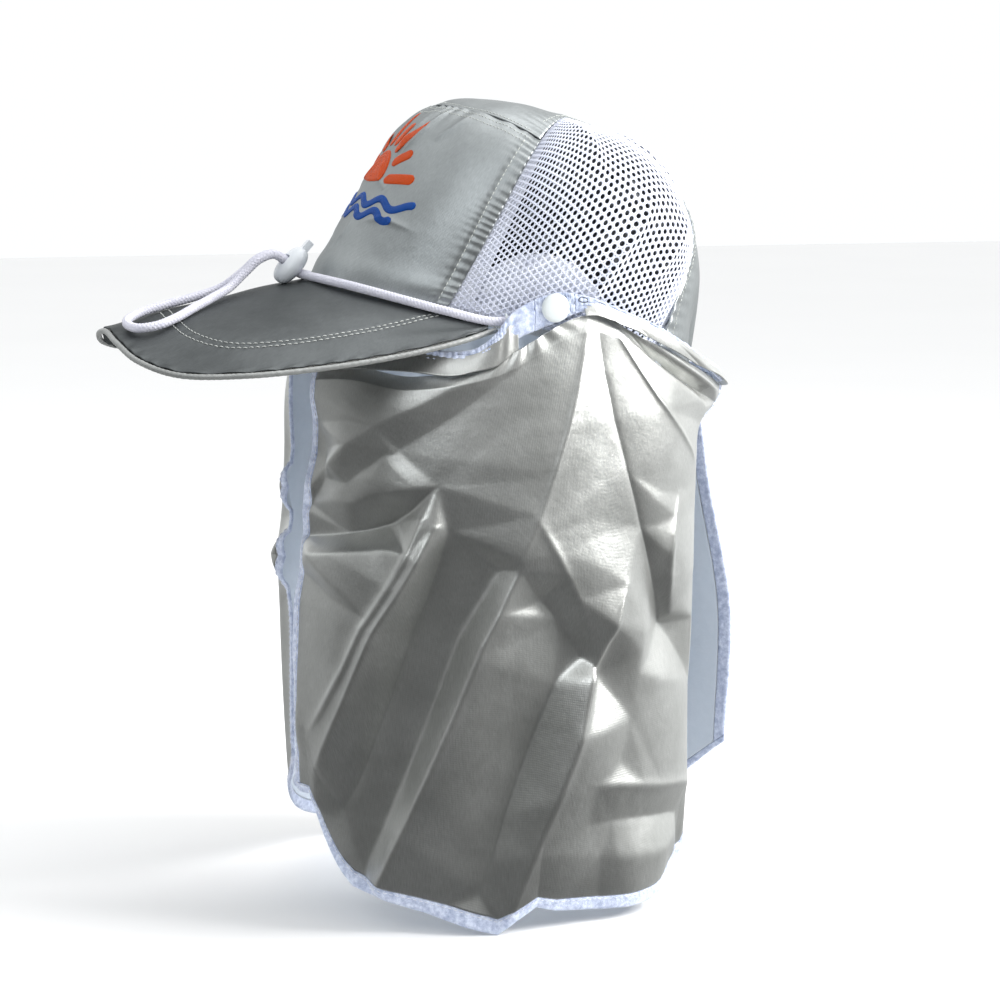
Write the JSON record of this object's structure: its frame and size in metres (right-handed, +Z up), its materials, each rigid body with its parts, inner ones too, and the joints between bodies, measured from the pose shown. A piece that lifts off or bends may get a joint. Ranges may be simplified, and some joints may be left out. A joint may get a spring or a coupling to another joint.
{
  "type": "sun cap with hanging veil",
  "caption": "Silver sun cap with mesh sides, long soft brim, drawcord with spring lock, and a hanging shade veil that snaps on at the sides.",
  "frame": {"origin": "centre of the head opening, on the base ellipse of the crown", "axes": "+Z up as worn, -Y the way the brim points, +X the left of the wearer"},
  "size_m": [0.201, 0.3489, 0.4087],
  "materials": {
    "silver_cloth": "satin woven cloth with a silver coating",
    "white_mesh": "knitted polyester mesh",
    "white_tape": "pale blue-white bias tape",
    "sweatband_cloth": "plain woven cotton",
    "lining_cloth": "plain woven lining",
    "elastic_web": "ribbed elastic",
    "board_plastic": "flexible sheet",
    "white_plastic": "smooth moulded",
    "braided_cord": "round braid",
    "spring_steel": "bright wire",
    "piping_cloth": "folded silver cloth"
  },
  "bodies": {
    "root": {"front_panel": "silver_cloth", "front_lining": "lining_cloth", "crown_strip": "silver_cloth", "mesh_panel_left": "white_mesh", "snap_patch_left": "lining_cloth", "mesh_panel_right": "white_mesh", "snap_patch_right": "lining_cloth", "sweatband": "sweatband_cloth", "back_elastic": "elastic_web", "brim_board": "board_plastic", "brim_top_cover": "silver_cloth", "brim_under_cover": "silver_cloth", "brim_piping": "piping_cloth", "drawcord": "braided_cord", "cord_eyelet_left": "white_plastic", "cord_eyelet_right": "white_plastic", "snap_post_left": "white_plastic", "snap_socket_left": "white_plastic", "snap_post_right": "white_plastic", "snap_socket_right": "white_plastic", "casing_front_left": "white_tape", "casing_back": "white_tape", "casing_front_right": "white_tape", "veil_panel_left": "silver_cloth", "front_binding_left": "white_tape", "back_binding_left": "white_tape", "hem_binding_left": "white_tape", "veil_panel_right": "silver_cloth", "front_binding_right": "white_tape", "back_binding_right": "white_tape", "hem_binding_right": "white_tape"},
    "cord_lock": {"cord_lock_body": "white_plastic", "cord_lock_spring": "spring_steel"},
    "lock_plunger": {"cord_lock_plunger": "white_plastic"},
    "snap_left": {"snap_cap_left": "white_plastic", "snap_stud_left": "white_plastic", "casing_tab_left": "white_tape"},
    "snap_right": {"snap_cap_right": "white_plastic", "snap_stud_right": "white_plastic", "casing_tab_right": "white_tape"}
  },
  "joints": [
    {"name": "cord_lock_slide", "type": "slide", "parent": "root", "child": "cord_lock", "axis": [0, -0.9867, -0.1627], "range_m": [0, 0.055], "deforming": ["drawcord"]},
    {"name": "lock_button_press", "type": "slide", "parent": "cord_lock", "child": "lock_plunger", "axis": [0, -0.6691, -0.7431], "range_m": [0, 0.0028], "stiffness_N_per_m": 1200, "springref_m": -0.001, "deforming": ["cord_lock_spring"]},
    {"name": "snap_left_release", "type": "slide", "parent": "root", "child": "snap_left", "axis": [1, 0, 0], "range_m": [0, 0.006]},
    {"name": "snap_right_release", "type": "slide", "parent": "root", "child": "snap_right", "axis": [-1, 0, 0], "range_m": [0, 0.006]}
  ]
}
